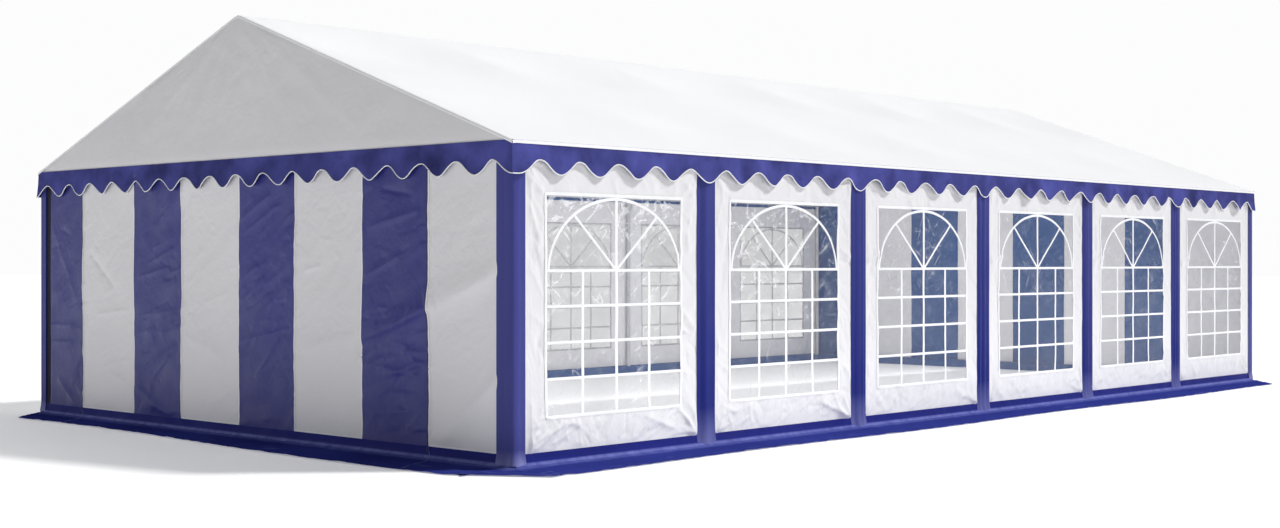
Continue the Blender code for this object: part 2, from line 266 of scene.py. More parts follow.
class Shading:
    """A material's nodes, with short ways to add the usual ones."""

    def __init__(self, name, roughness, metallic=0.0):
        self.material = bpy.data.materials.new(name)
        self.material.use_nodes = True
        self.tree = self.material.node_tree
        self.place = self.node("ShaderNodeTexCoord", "Object", {})
        self.normal = None
        self.surface({"Roughness": roughness, "Metallic": metallic})

    def fill(self, node, inputs):
        """Set a node's inputs, each to a value or to what another node gives."""
        for key, value in inputs.items():
            if isinstance(value, bpy.types.NodeSocket):
                self.tree.links.new(value, node.inputs[key])
            elif value is not None:
                node.inputs[key].default_value = value

    def node(self, kind, output, inputs, **settings):
        """What a new node gives, with these inputs and settings."""
        node = self.tree.nodes.new(kind)
        for key, value in settings.items():
            setattr(node, key, value)
        self.fill(node, inputs)
        return node.outputs[output]

    def surface(self, inputs):
        """Set inputs of the shader that the material is made of."""
        self.fill(self.tree.nodes["Principled BSDF"], inputs)

    def stretched(self, scale):
        return self.node("ShaderNodeMapping", "Vector", {"Vector": self.place, "Scale": scale})

    def leaning(self, stretch, angle):
        """Coordinates in which a wall's pattern is drawn out along a leaning direction."""
        return self.node("ShaderNodeMapping", "Vector",
                         {"Vector": self.place, "Scale": (stretch, 1.0, 1.0),
                          "Rotation": (0.0, -angle, 0.0)}, vector_type="TEXTURE")

    def axis(self, name):
        return self.node("ShaderNodeSeparateXYZ", name, {"Vector": self.place})

    def noise(self, scale, detail=2.0, place=None, warp=0.0):
        return self.node("ShaderNodeTexNoise", "Fac",
                         {"Vector": place or self.place, "Scale": scale, "Detail": detail,
                          "Distortion": warp})

    def waves(self, scale, direction):
        return self.node("ShaderNodeTexWave", "Fac", {"Vector": self.place, "Scale": scale},
                         bands_direction=direction)

    def between(self, value, low, high, out_low=0.0, out_high=1.0):
        return self.node("ShaderNodeMapRange", "Result",
                         {"Value": value, "From Min": low, "From Max": high,
                          "To Min": out_low, "To Max": out_high})

    def maths(self, operation, first, second):
        return self.node("ShaderNodeMath", "Value", {0: first, 1: second}, operation=operation)

    def mixed(self, amount, first, second):
        """A blend of two colours, of which the first may come from other nodes."""
        factor, first_colour, second_colour, blend = 0, 6, 7, 2
        if isinstance(first, tuple):
            first = (*first, 1.0)
        return self.node("ShaderNodeMix", blend,
                         {factor: amount, first_colour: first, second_colour: (*second, 1.0)},
                         data_type="RGBA")

    def bump(self, height, distance, strength=1.0):
        self.normal = self.node("ShaderNodeBump", "Normal",
                                {"Height": height, "Distance": distance, "Strength": strength,
                                 "Normal": self.normal})
        self.surface({"Normal": self.normal})


def shaded(colour, factor):
    return tuple(min(1.0, part * factor) for part in colour)


def pvc(name, colour, roughness, mottle, crinkle, gloss=0.5, pale_heights=None, lower=None, cloud=0.9):
    """PVC-coated fabric: an uneven coating, fine crinkles and the scrim's threads.

    A paler colour painted between two heights, with its strength at each, gives painted
    highlights on the foot band, the skirt and the corner covers' feet, and paler streaks at the
    post covers' feet; lower is a darker colour painted towards the foot as painted shade;
    cloud is the scale of its mottling."""
    look = Shading(name, roughness)
    look.surface({"Specular IOR Level": gloss})
    tone = look.mixed(look.between(look.noise(cloud, 3.0), 0.3, 0.7), shaded(colour, 1 - mottle),
                      shaded(colour, 1 + mottle))
    scuff = look.noise(14.0, 5.0, warp=0.6)
    tone = look.mixed(look.between(scuff, 0.62, 0.8, 0.0, 0.35), tone,
                      shaded(colour, 1 - 2.2 * mottle))
    # Painted shade: the colour turns darker towards the foot, where less light falls
    if lower is not None:
        tone = look.mixed(look.between(look.axis("Z"), 0.4, 2.1, 1.0, 0.0), tone, lower)
    # A paler colour painted in streaks between two heights: a painted highlight on the foot band,
    # skirt and corner covers, and paler feet on the post covers
    if pale_heights is not None:
        pale, low, high, at_low, at_high = pale_heights
        streak = look.noise(9.0, 2.0, place=look.stretched((1.5, 1.5, 0.3)))
        where = look.between(look.axis("Z"), low, high, at_low, at_high)
        patchy = look.maths("MULTIPLY", where, look.between(streak, 0.3, 0.65, 0.55, 1.0))
        tone = look.mixed(patchy, tone, pale)
    dulled = look.between(look.noise(5.0, 4.0), 0.3, 0.7, roughness - 0.07, roughness + 0.09)
    look.surface({"Base Color": tone, "Roughness": dulled})
    threads = look.maths("MAXIMUM", look.waves(150.0, "X"), look.waves(150.0, "Z"))
    threads = look.maths("MAXIMUM", threads, look.waves(150.0, "Y"))
    look.bump(threads, 0.0001, 0.25)
    look.bump(look.noise(7.0, 3.0, warp=0.8), 0.0060 * crinkle)
    look.bump(look.noise(21.0, 3.0, warp=0.8), 0.0028 * crinkle)
    return look.material


def clear_film(name):
    """Clear PVC film: a faint grey haze, and short bright glints painted into its colour and opacity
    as painted reflections, most of them high up and fewer towards the back.
    """
    look = Shading(name, 0.10)
    look.surface({"Specular IOR Level": 0.8})
    # Painted reflections: bright streaks painted into the film's colour and opacity
    glints = None
    for scale, angle, width, low, amount in ((7.5, 0.75, 0.030, 0.46, 0.44),
                                             (9.5, -0.85, 0.030, 0.47, 0.40),
                                             (16.0, 0.35, 0.046, 0.48, 0.34)):
        line = look.noise(scale, 1.0, place=look.leaning(4.5, angle), warp=0.2)
        line = look.maths("ABSOLUTE", look.maths("SUBTRACT", line, 0.5), 0.0)
        line = look.between(line, 0.0, width, amount, 0.0)
        broken = look.between(look.noise(1.1 * scale, 2.0, warp=0.3), low, low + 0.24)
        line = look.maths("MULTIPLY", line, broken)
        glints = line if glints is None else look.maths("MAXIMUM", glints, line)
    clustered = look.between(look.noise(1.5, 2.0), 0.40, 0.60, 0.25, 1.0)
    fewer = look.between(look.axis("X"), -4.8, -2.4, 1.0, 0.32)
    fewer = look.maths("MULTIPLY", fewer, look.between(look.axis("Z"), 0.9, 1.5, 0.45, 1.0))
    glints = look.maths("MULTIPLY", glints, look.maths("MULTIPLY", clustered, fewer))
    tone = look.mixed(look.between(glints, 0.0, 0.1), (0.20, 0.20, 0.21), (0.92, 0.92, 0.94))
    haze = look.between(look.noise(1.6, 2.0), 0.3, 0.7, 0.25, 0.34)
    look.surface({"Base Color": tone, "Alpha": look.maths("ADD", haze, glints)})
    look.bump(look.noise(3.4, 3.0, warp=0.8), 0.006)
    look.bump(look.noise(12.0, 2.0, warp=1.2), 0.002)
    return look.material


def galvanised():
    """Zinc-coated steel: faint spangle, dull streaks and a soft grain."""
    look = Shading("galvanised_steel", 0.42, metallic=0.6)
    cells = look.node("ShaderNodeTexVoronoi", "Distance", {"Vector": look.place, "Scale": 70.0})
    colour = look.mixed(look.between(cells, 0.0, 0.6), (0.74, 0.75, 0.77), (0.62, 0.63, 0.65))
    streak = look.noise(6.0, 4.0, place=look.stretched((1.0, 1.0, 0.15)))
    colour = look.mixed(look.between(streak, 0.45, 0.75, 0.0, 0.5), colour, (0.52, 0.53, 0.55))
    look.surface({"Base Color": colour,
                  "Roughness": look.between(look.noise(30.0, 3.0), 0.3, 0.7, 0.34, 0.52)})
    look.bump(look.noise(160.0, 2.0), 0.0003, 0.5)
    return look.material


def plain(name, colour, roughness):
    """One colour, faintly uneven and with a fine grain, as on moulded plastic."""
    grain = 220.0
    look = Shading(name, roughness)
    tone = look.mixed(look.noise(grain * 0.3, 2.0), shaded(colour, 0.88), shaded(colour, 1.1))
    look.surface({"Base Color": tone})
    look.bump(look.noise(grain, 3.0), 0.0002)
    return look.material


WHITE = (0.81, 0.80, 0.82)
BLUE = (0.035, 0.038, 0.220)
# Paler blue for the feet of the post covers, in streaks
PALE_FOOT_BLUE = (0.150, 0.160, 0.400)
# Paler blue painted along the bend where the foot band turns out onto the skirt, and on the skirt's
# raised folds: a painted highlight, partly wear
HIGHLIGHT_AND_WEAR_BLUE = (0.170, 0.190, 0.500)
white_pvc = pvc("white_pvc", WHITE, 0.40, 0.02, 0.8)
# A darker copy of the walls' white: painted shade on the gables
gable_pvc = pvc("gable_pvc", shaded(WHITE, 0.90), 0.42, 0.02, 0.5)
# A brighter copy of the walls' white: painted light on the roof
roof_pvc = pvc("roof_pvc", (0.96, 0.96, 0.97), 0.42, 0.015, 0.3)
blue_pvc = pvc("blue_pvc", BLUE, 0.40, 0.07, 0.7, 0.45)
# Post covers: paler in streaks at their feet, and a darker blue towards the foot that is painted
# shade
cover_pvc = pvc("cover_pvc", (0.055, 0.062, 0.245), 0.46, 0.07, 0.25, 0.06,
                (PALE_FOOT_BLUE, 0.04, 0.30, 0.95, 0.0), (0.016, 0.023, 0.170))
# Corner covers: a pale blue painted low down at their feet, a painted highlight
corner_pvc = pvc("corner_pvc", (0.057, 0.062, 0.260), 0.46, 0.07, 0.25, 0.15,
                 ((0.30, 0.31, 0.60), 0.03, 0.13, 0.9, 0.0))
# Foot band: its lower part painted paler, a highlight along its bend, partly wear
band_pvc = pvc("band_pvc", (0.018, 0.023, 0.195), 0.50, 0.10, 0.6, 0.12,
               (HIGHLIGHT_AND_WEAR_BLUE, 0.036, 0.045, 0.9, 0.0))
# Strong, large mottling: painted light and shade standing in for the billows' shadows and highlights
valance_pvc = pvc("valance_pvc", (0.063, 0.068, 0.252), 0.42, 0.42, 0.15, 0.01, cloud=3.2)
# Skirt: the part near the band and its raised folds painted paler, a highlight, partly wear
skirt_pvc = pvc("skirt_pvc", (0.030, 0.040, 0.228), 0.62, 0.10, 0.6, 0.0,
                (HIGHLIGHT_AND_WEAR_BLUE, 0.008, 0.014, 0.0, 0.45))
# Whiter than the walls: on the stripes' hems this whiteness is a painted highlight along the weld
hem_pvc = pvc("hem_pvc", (0.95, 0.95, 0.96), 0.38, 0.01, 0.3)
# A paler blue for the inner sheets: painted light standing in for the daylight that comes through
# the blue fabric
glow_blue_pvc = pvc("blue_pvc_painted_glow", (0.012, 0.078, 0.270), 0.50, 0.06, 0.5, 0.3)
seam_pvc = pvc("seam_pvc", (0.130, 0.150, 0.400), 0.45, 0.05, 0.2, 0.3)
film_pvc = clear_film("clear_film")
steel = galvanised()
zip_plastic = plain("zip_plastic", (0.020, 0.024, 0.110), 0.50)
# A near-black strip laid in the slit at the front left: painted shadow
slit_painted_shadow = plain("slit_painted_shadow", (0.004, 0.004, 0.020), 0.80)


# Side walls, their windows and bars

def panel_start(number):
    """Where a panel of a long side starts, along that side."""
    return number * BAY - HALF_LENGTH


def side_base(side, number, u, v):
    """The broad swell of a long side's wall, in metres outwards, weaker from panel to panel."""
    seed = 100 if side == "right" else 300
    shift = 7.3 * number
    swell = 0.0055 * noise(u + shift, v, 0.62, seed) + 0.0030 * noise(u + shift, v, 0.27, seed + 1)
    return swell * (1 - 0.09 * number)


# The creases that the photograph shows on the first panels of the long sides: where each starts
# and ends along the side and up, its height, and its widths above and below
SIDE_CREASES = {
    0: ((-5.89, 1.96, -5.71, 1.83, 0.010, 0.016, 0.016),
        (-5.87, 1.77, -5.76, 1.48, 0.010, 0.018, 0.014),
        (-5.87, 0.15, -5.51, 0.28, 0.012, 0.018, 0.014),
        (-5.82, 0.20, -5.62, 0.32, 0.010, 0.014, 0.014),
        (-5.62, 0.30, -5.37, 0.26, 0.008, 0.014, 0.018),
        (-4.30, 0.30, -4.12, 0.12, 0.012, 0.018, 0.014),
        (-4.70, 0.28, -4.30, 0.15, 0.011, 0.020, 0.016),
        (-4.30, 1.04, -4.12, 0.88, 0.015, 0.018, 0.022),
        (-4.30, 0.89, -4.14, 0.83, 0.012, 0.014, 0.016)),
    1: ((-2.28, 1.49, -2.08, 1.41, 0.018, 0.014, 0.022),
        (-2.28, 1.40, -2.08, 1.355, -0.014, 0.012, 0.014),
        (-2.26, 0.57, -2.11, 0.43, 0.012, 0.016, 0.016),
        (-2.58, 0.27, -2.13, 0.11, 0.014, 0.020, 0.016),
        (-3.81, 0.29, -3.59, 0.24, 0.009, 0.014, 0.016),
        (-2.36, 1.94, -2.10, 2.03, 0.010, 0.016, 0.016),
        (-3.86, 0.76, -3.73, 0.70, 0.010, 0.012, 0.014),
        (-3.86, 0.63, -3.73, 0.56, 0.010, 0.012, 0.014)),
    2: ((-1.92, 1.375, -1.66, 1.46, 0.018, 0.014, 0.022),
        (-1.70, 1.44, -1.20, 1.62, 0.012, 0.014, 0.018),
        (-1.92, 1.31, -1.70, 1.35, -0.012, 0.012, 0.014))}


# Short strokes of a panel: their number, the corners of their rectangle, their lean and its
# spread, their length, height and width
PANEL_STROKES = (
    (70, 0.12, 0.12, 1.88, 0.34, 0.60, 0.35, 0.26, 0.0070, 0.011),
    (14, 0.12, 0.12, 0.70, 0.34, 2.20, 0.30, 0.26, 0.0065, 0.013),
    (22, 0.12, 0.40, 0.28, 2.00, 1.85, 0.35, 0.34, 0.0070, 0.014),
    (28, 1.72, 0.30, 1.88, 2.00, 2.50, 0.45, 0.24, 0.0075, 0.013),
    (20, 0.15, 1.84, 1.85, 2.05, 2.30, 0.50, 0.28, 0.0065, 0.016),
    (16, 0.15, 0.20, 1.85, 2.00, 0.70, 0.90, 0.50, 0.0045, 0.024))

# Fans out of a panel's corners: place, direction, number of creases, length, height and width
PANEL_FANS = (
    (1.90, 0.08, 2.35, 8, 0.42, 0.0085, 0.014),
    (0.10, 0.08, 0.80, 6, 0.42, 0.0080, 0.015),
    (1.90, 2.08, 4.00, 5, 0.36, 0.0080, 0.016),
    (0.08, 2.08, 5.50, 6, 0.38, 0.0090, 0.016))


def side_fine(side, number, u, v):
    """The creases of one panel: strokes near its edges and fans out of its corners."""
    seed = (150 if side == "right" else 350) + 17 * number
    left = panel_start(number)
    low = smooth_step(1.2 - v)
    patch = smooth_step(0.5 + 1.4 * noise(u, v, 0.45, seed) + 0.3 * low)
    height = 0.0024 * patch * crumple(u, v, 0.17, seed + 1, 0.8, 1.9)
    for order, row in enumerate(PANEL_STROKES):
        count, low_u, low_v, high_u, high_v, *look = row
        height += scattered(u, v, seed + 2 + order, count, (left + low_u, low_v),
                            (left + high_u, high_v), *look)
    for order, (across, up, inward, count, reach, rise, width) in enumerate(PANEL_FANS):
        height += fan(u, v, (left + across, up), inward, count, seed + 8 + order, reach, rise, width)
    plainer = ((left + 0.08, 1.36, left + 0.46, 1.46, 0.014, 0.014, 0.022),
               (left + 1.92, 0.86, left + 1.68, 1.02, 0.014, 0.016, 0.022))
    return height + creases(u, v, SIDE_CREASES.get(number, plainer))


def side_calm(number, u, v):
    """1 where a wall is free and 0 where posts and foot hold it flat."""
    left = panel_start(number)
    from_post = np.minimum(np.abs(u - left), np.abs(left + BAY - u))
    return smooth_step((from_post - 0.08) / 0.07) * smooth_step((v - PANEL_FOOT + 0.008) / 0.05)


def side_folds(side, number, u, v):
    """How far a long side's wall stands out at each place, in metres."""
    height = side_base(side, number, u, v) + side_fine(side, number, u, v)
    return height * side_calm(number, u, v)


def film_folds(side, number, u, v):
    """The film follows the wall at its edge and ripples on its own further in."""
    middle = panel_start(number) + BAY / 2
    seed = (500 if side == "right" else 540) + number
    inside = np.minimum(WINDOW_HALF - np.abs(u - middle),
                        np.minimum(v - WINDOW_SILL, WINDOW_TOP - v))
    own = smooth_step(inside / 0.12)
    rippled = 0.0020 * noise(u, v, 0.36, seed) + 0.0017 * crumple(u, v, 0.24, seed + 1, 1.9, 1.6)
    height = side_base(side, number, u, v) * (1 - 0.65 * own)
    height += side_fine(side, number, u, v) * (1 - own)
    return height * side_calm(number, u, v) + rippled * own


def window_lines():
    """The centre lines of a window's bars, from the middle of its width, with half widths.

    An arch springs from the highest cross bar, with two rays, and a border runs all round."""
    spring = 1.32
    inset = 0.012
    lines = [([(-WINDOW_HALF, height), (WINDOW_HALF, height)], 0.0105)
             for height in (spring, 1.077, 0.831, 0.585)]
    lines.append(([(0.0, WINDOW_SILL), (0.0, WINDOW_TOP)], 0.0145))
    for across in (-WINDOW_HALF / 2, WINDOW_HALF / 2):
        lines.append(([(across, WINDOW_SILL), (across, spring)], 0.0135))
    arch = [((inset - WINDOW_HALF) * math.cos(angle),
             spring + (WINDOW_TOP - inset - spring) * math.sin(angle))
            for angle in np.linspace(0, math.pi, 41)]
    lines.append((arch, 0.0110))
    for sign in (-1, 1):
        lines.append(([(0.0, spring), (sign * 0.43, spring + 0.375)], 0.0105))
    border = 0.0125
    rim = WINDOW_HALF + border
    foot = WINDOW_SILL - border
    head = WINDOW_TOP + border
    lines.append(([(-rim, foot), (rim, foot), (rim, head), (-rim, head), (-rim, foot)], border))
    return lines


def ribbon(side, points, half, rise, surface):
    """Grid of a slightly crowned strip that follows a line on one side of the tent."""
    line = [np.array(points[0], float)]
    for start, end in zip(points[:-1], points[1:]):
        start = np.array(start)
        end = np.array(end)
        count = max(1, round(np.linalg.norm(end - start) / 0.03))
        line += [start + (end - start) * step / count for step in range(1, count + 1)]
    line = np.array(line)
    run = np.gradient(line, axis=0)
    run /= np.maximum(np.linalg.norm(run, axis=1, keepdims=True), 1e-9)
    across = np.stack([-run[:, 1], run[:, 0]], -1)
    rows = []
    for share, lift in ((-1.0, 0.0), (-0.75, rise), (0.75, rise), (1.0, 0.0)):
        along, up = (line + across * share * half).T
        rows.append(world(side, along, surface(along, up) + lift, up))
    return np.stack(rows)


def side_wall(side, number):
    """One panel of a long side: the wall with its blue top edge, its window film and bars."""
    left = panel_start(number)
    middle = left + BAY / 2
    step = 0.011 + 0.002 * number if side == "right" else 0.022
    seam = 0.140
    marks = [0.0002, seam, seam + 0.004, seam + 0.008, BAY / 2 - WINDOW_HALF]
    marks += [BAY - mark for mark in reversed(marks)]
    columns = spaced([left + mark for mark in marks], step)
    rows = spaced([PANEL_FOOT, WINDOW_SILL, WINDOW_TOP, EAVE_BAND, WALL_TOP], step)
    u, v = np.meshgrid(columns, rows)
    folds = side_folds(side, number, u, v)
    from_post = np.minimum(u - left, left + BAY - u)
    folds = folds + 0.0010 * (np.abs(from_post - seam - 0.004) < 0.001)
    out = HALF_WIDTH + SHEET_OFFSET + folds
    centre_u = (u[:-1, :-1] + u[1:, 1:]) / 2
    centre_v = (v[:-1, :-1] + v[1:, 1:]) / 2
    hole = ((np.abs(centre_u - middle) < WINDOW_HALF) & (centre_v > WINDOW_SILL)
            & (centre_v < WINDOW_TOP))
    points = world(side, u, out, v)
    wall = outer(f"wall_sheet_{side}_{number + 1}", side, points, white_pvc, "white_pvc",
                 f"side_wall_{side}_{number + 1}", keep=~hole)
    # The blue top edge, as a paler sheet inside the wall: painted light of daylight through it
    band = painted_glow_sheet(f"eave_band_{side}_{number + 1}", side, points, centre_v > EAVE_BAND)
    window(side, number)


def window(side, number):
    """Clear film behind the wall's opening, with welded white bars in front."""
    middle = panel_start(number) + BAY / 2
    margin = 0.02
    columns = spaced([middle - WINDOW_HALF - margin, middle + WINDOW_HALF + margin], 0.022)
    rows = spaced([WINDOW_SILL - margin, WINDOW_TOP + margin], 0.022)
    u, v = np.meshgrid(columns, rows)
    out = HALF_WIDTH + SHEET_OFFSET - 0.0016 + film_folds(side, number, u, v)
    film = outer(f"film_{side}_{number + 1}", side, world(side, u, out, v), film_pvc,
                 "clear_film", f"window_film_{side}")

    def surface(along, up):
        return HALF_WIDTH + SHEET_OFFSET + 0.0024 + film_folds(side, number, along, up)

    parts = []
    for line, half in window_lines():
        shifted = [(middle + across, up) for across, up in line]
        parts.append(ribbon(side, shifted, half, 0.0014, surface))
    bars = mesh_object(f"bars_{side}_{number + 1}", *grid_parts(parts), hem_pvc)
    finished(bars, "white_pvc")


for side in SIDES:
    for number in range(BAYS):
        side_wall(side, number)


# End walls

# The edges of the eight stripes, and how far inside its edge a white stripe is welded
SEAMS = (HALF_WIDTH, 2.320, 1.495, 0.804, -0.001, -0.691, -1.499, -2.205, -HALF_WIDTH)
SEAM_INSET = 0.034

# The middle of the slit at the front left, half the width of the painted shadow strip in it, and
# where its hollow bends
SLIT_PLACE = 2.905
SLIT_HALF = 0.032
SLIT_BENDS = (-0.050, -0.040, -0.025, 0.0, 0.025, 0.040, 0.050)

# The front wall's own creases, written as in SIDE_CREASES
FRONT_CREASES = (
    (-1.45, 0.80, -2.30, 1.08, 0.030, 0.070, 0.024),
    (-2.20, 1.04, -3.10, 1.40, 0.026, 0.088, 0.040),
    (-2.30, 0.10, -3.05, 0.72, 0.026, 0.055, 0.060),
    (-1.70, 1.90, -2.05, 1.85, -0.008, 0.020, 0.012),
    (-1.55, 1.62, -2.12, 1.74, 0.010, 0.030, 0.014),
    (-1.52, 1.27, -1.92, 1.43, 0.008, 0.024, 0.012),
    (-1.50, 0.65, -2.18, 0.57, 0.007, 0.018, 0.018),
    (-1.52, 0.50, -2.15, 0.68, 0.008, 0.020, 0.014),
    (-1.60, 0.28, -2.20, 0.36, 0.005, 0.020, 0.020),
    (0.00, 1.70, -0.40, 1.90, 0.007, 0.014, 0.014),
    (-0.06, 1.60, -0.48, 1.81, 0.007, 0.016, 0.012),
    (0.00, 1.22, -0.26, 1.36, 0.009, 0.020, 0.012),
    (-0.02, 1.06, -0.34, 1.26, 0.009, 0.016, 0.012),
    (-0.16, 0.86, -0.44, 1.09, 0.011, 0.018, 0.012),
    (0.00, 0.75, -0.70, 0.88, 0.006, 0.018, 0.014),
    (-0.20, 0.48, -0.52, 0.78, 0.011, 0.018, 0.012),
    (-0.22, 0.46, -0.64, 0.66, 0.008, 0.014, 0.014),
    (0.00, 0.33, -0.70, 0.37, 0.005, 0.024, 0.024),
    (-0.80, 0.72, -1.50, 0.86, 0.011, 0.050, 0.060),
    (-0.82, 1.31, -1.02, 1.35, 0.007, 0.014, 0.010),
    (0.76, 0.78, 0.20, 0.61, 0.011, 0.050, 0.035),
    (0.50, 1.04, 0.12, 1.14, 0.005, 0.020, 0.020),
    (0.40, 0.22, 0.00, 0.42, 0.008, 0.026, 0.020),
    (1.50, 0.34, 0.82, 0.04, 0.016, 0.030, 0.050),
    (1.48, 0.43, 0.86, 0.70, 0.010, 0.020, 0.014),
    (1.24, 0.40, 0.96, 0.61, 0.008, 0.014, 0.014),
    (1.46, 0.92, 0.86, 0.98, 0.004, 0.024, 0.018),
    (1.46, 0.79, 1.00, 0.80, 0.003, 0.020, 0.020),
    (1.44, 1.25, 0.96, 1.34, 0.006, 0.014, 0.014),
    (2.20, 1.46, 1.76, 1.12, -0.009, 0.030, 0.020),
    (2.10, 0.92, 1.58, 0.97, 0.007, 0.018, 0.014),
    (2.00, 0.47, 1.56, 0.55, 0.008, 0.018, 0.018),
    (1.90, 0.43, 1.54, 0.34, 0.008, 0.018, 0.018),
    (2.86, 1.76, 2.38, 0.98, 0.005, 0.040, 0.024),
    (2.90, 0.81, 2.48, 0.82, 0.005, 0.012, 0.012),
    (2.86, 0.66, 2.48, 0.67, 0.006, 0.012, 0.012),
    (2.74, 0.34, 2.36, 0.06, 0.013, 0.030, 0.020),
    (0.90, 1.50, 1.30, 1.35, 0.006, 0.014, 0.012))


def end_folds(end, u, v):
    """How far an end wall stands out at each place, in metres."""
    seed = 700 if end == "front" else 800
    height = 0.0070 * noise(u, v, 0.85, seed)
    slant_u = 0.80 * u - 0.60 * v
    slant_v = 0.60 * u + 0.80 * v
    height += 0.0070 * noise(slant_u / 2.6, slant_v, 0.40, seed + 11)
    height += 0.0040 * noise(slant_u / 2.2, slant_v, 0.18, seed + 12)
    patch = smooth_step(0.45 + 1.3 * noise(u, v, 0.5, seed + 2))
    height += 0.0032 * patch * crumple(u, v, 0.17, seed + 3, 2.6, 2.0)
    stripe = HALF_WIDTH / 4
    for number in range(8):
        right = HALF_WIDTH - stripe * number
        left = right - stripe
        height += scattered(u, v, seed + 20 + number, 36, (left, 0.15), (right, 1.9), 2.70,
                            0.35, 0.24, 0.0045, 0.010)
        height += scattered(u, v, seed + 30 + number, 10, (left, 0.15), (right, 1.6), 0.5,
                            0.50, 0.22, 0.0036, 0.011)
    height += scattered(u, v, seed + 9, 30, (-0.7, 0.4), (0.0, 1.8), 2.40, 0.2, 0.32, 0.0060,
                        0.010)
    height += scattered(u, v, seed + 10, 30, (-2.2, 0.2), (-1.5, 0.9), 2.9, 0.35, 0.34, 0.0060,
                        0.011)
    height = height * stripe_calm(u) * smooth_step((HALF_WIDTH - np.abs(u) - 0.08) / 0.14)
    foot = smooth_step((v - PANEL_FOOT + 0.02) / 0.11)
    if end == "back":
        return height * foot
    free = smooth_step((HALF_WIDTH - np.abs(u) - 0.07) / 0.10)
    gap = 0.010 * np.exp(-((u - SLIT_PLACE) / 0.040) ** 4)
    return (height + creases(u, v, FRONT_CREASES) * free - gap) * foot


def stripe_calm(u):
    """1 on the blue stripes and less on the white ones, whose sheet is stiffer."""
    calm = np.ones(np.shape(u))
    for low, high in zip(SEAMS[2::2], SEAMS[1::2]):
        calm = calm - 0.45 * smooth_step(np.minimum(u - low, high - u) / 0.10)
    return calm


def end_wall(end):
    """Eight stripes side by side, every second one white, with a zip at each edge of the door."""
    nodes = {0: f"{end}_wall_left", 7: f"{end}_wall_right"}
    step = 0.0125 if end == "front" else 0.022
    hem = 0.007
    for number, (left, right) in enumerate(zip(SEAMS[:-1], SEAMS[1:])):
        white = number % 2 == 1
        low = right if white else right - 0.006
        high = left if white or number == 0 else left + 0.006
        marks = (hem, hem + 0.003, SEAM_INSET - 0.004, SEAM_INSET, SEAM_INSET + 0.004)
        stops = [low, high]
        if number == 0:
            stops = [low, *(SLIT_PLACE + bend for bend in SLIT_BENDS), high]
        if white:
            stops = [low] + [low + mark for mark in marks]
            stops += [high - mark for mark in reversed(marks)] + [high]
        columns = spaced(stops, step)
        rows = spaced([PANEL_FOOT, PANEL_FOOT + hem, PANEL_FOOT + hem + 0.003, WALL_TOP], step)
        u, v = np.meshgrid(columns, rows)
        out = HALF_LENGTH + SHEET_OFFSET + end_folds(end, u, v)
        inwards = np.minimum(u - low, high - u)
        if white:
            out = out + 0.0016 * (np.abs(inwards - SEAM_INSET) < 0.001)
            out = out + 0.0012 * ((inwards < hem + 0.001) | (v < PANEL_FOOT + hem + 0.001))
        else:
            out = out + 0.0016
        points = world(end, u, out, v)
        name = f"{end}_stripe_{number + 1}"
        material, slot = (white_pvc, "white_pvc") if white else (blue_pvc, "blue_pvc")
        piece = outer(name, end, points, material, slot, nodes.get(number, f"{end}_door_flap"))
        # The blue stripe's paler inner sheet: painted light of daylight through it
        with_pieces = [] if white else [painted_glow_sheet(f"{name}_inside", end, thinned(points))]
    for place in (SEAMS[1], SEAMS[-2]):
        zip_line(end, place)
    hem_lines(end)


def above_end(end, rise):
    """A function for how far outwards a place a little above an end wall lies."""
    return lambda across, up: HALF_LENGTH + SHEET_OFFSET + rise + end_folds(end, across, up)


def hem_lines(end):
    """The welded edges of the white stripes, whose whiter colour is a painted highlight, and the
    painted shadow strip in the slit at the front left.
    """
    surface = above_end(end, 0.0030)
    inset = 0.008
    foot = PANEL_FOOT + 0.014
    parts = []
    for left, right in zip(SEAMS[1::2], SEAMS[2::2]):
        line = [(left - inset, HEM_TOP), (left - inset, foot), (right + inset, foot),
                (right + inset, HEM_TOP)]
        parts.append(ribbon(end, line, 0.0060, 0.0008, surface))
    finished(mesh_object(f"hems_{end}", *grid_parts(parts), hem_pvc), "white_pvc")
    if end == "front":
        # A near-black strip in the slit: painted shadow
        line = [(SLIT_PLACE, PANEL_FOOT), (SLIT_PLACE, HEM_TOP)]
        slit = grid_object("slit_shadow_front", ribbon(end, line, SLIT_HALF, 0.0004, surface), slit_painted_shadow)
        finished(slit, "blue_pvc")


def thinned(points):
    """Every second row and column of a grid, and its last ones."""
    rows, columns = (sorted({*range(0, size, 2), size - 1}) for size in points.shape[:2])
    return points[np.ix_(rows, columns)]


def zip_line(end, place):
    """A dark zip up one edge of the door flap, with its end stop at the foot."""
    surface = above_end(end, 0.0028)
    foot = 0.080
    place = place + 0.007
    teeth = ribbon(end, [(place, foot), (place, HEM_TOP + 0.01)], 0.0040, 0.0014, surface)
    stop = ribbon(end, [(place, foot - 0.022), (place, foot + 0.010)], 0.0100, 0.0070, surface)
    name = "left" if place > 0 else "right"
    piece = mesh_object(f"zip_{end}_{name}", *grid_parts([teeth, stop]), zip_plastic)
    finished(piece, "blue_pvc")


for end in ENDS:
    end_wall(end)


# Gables

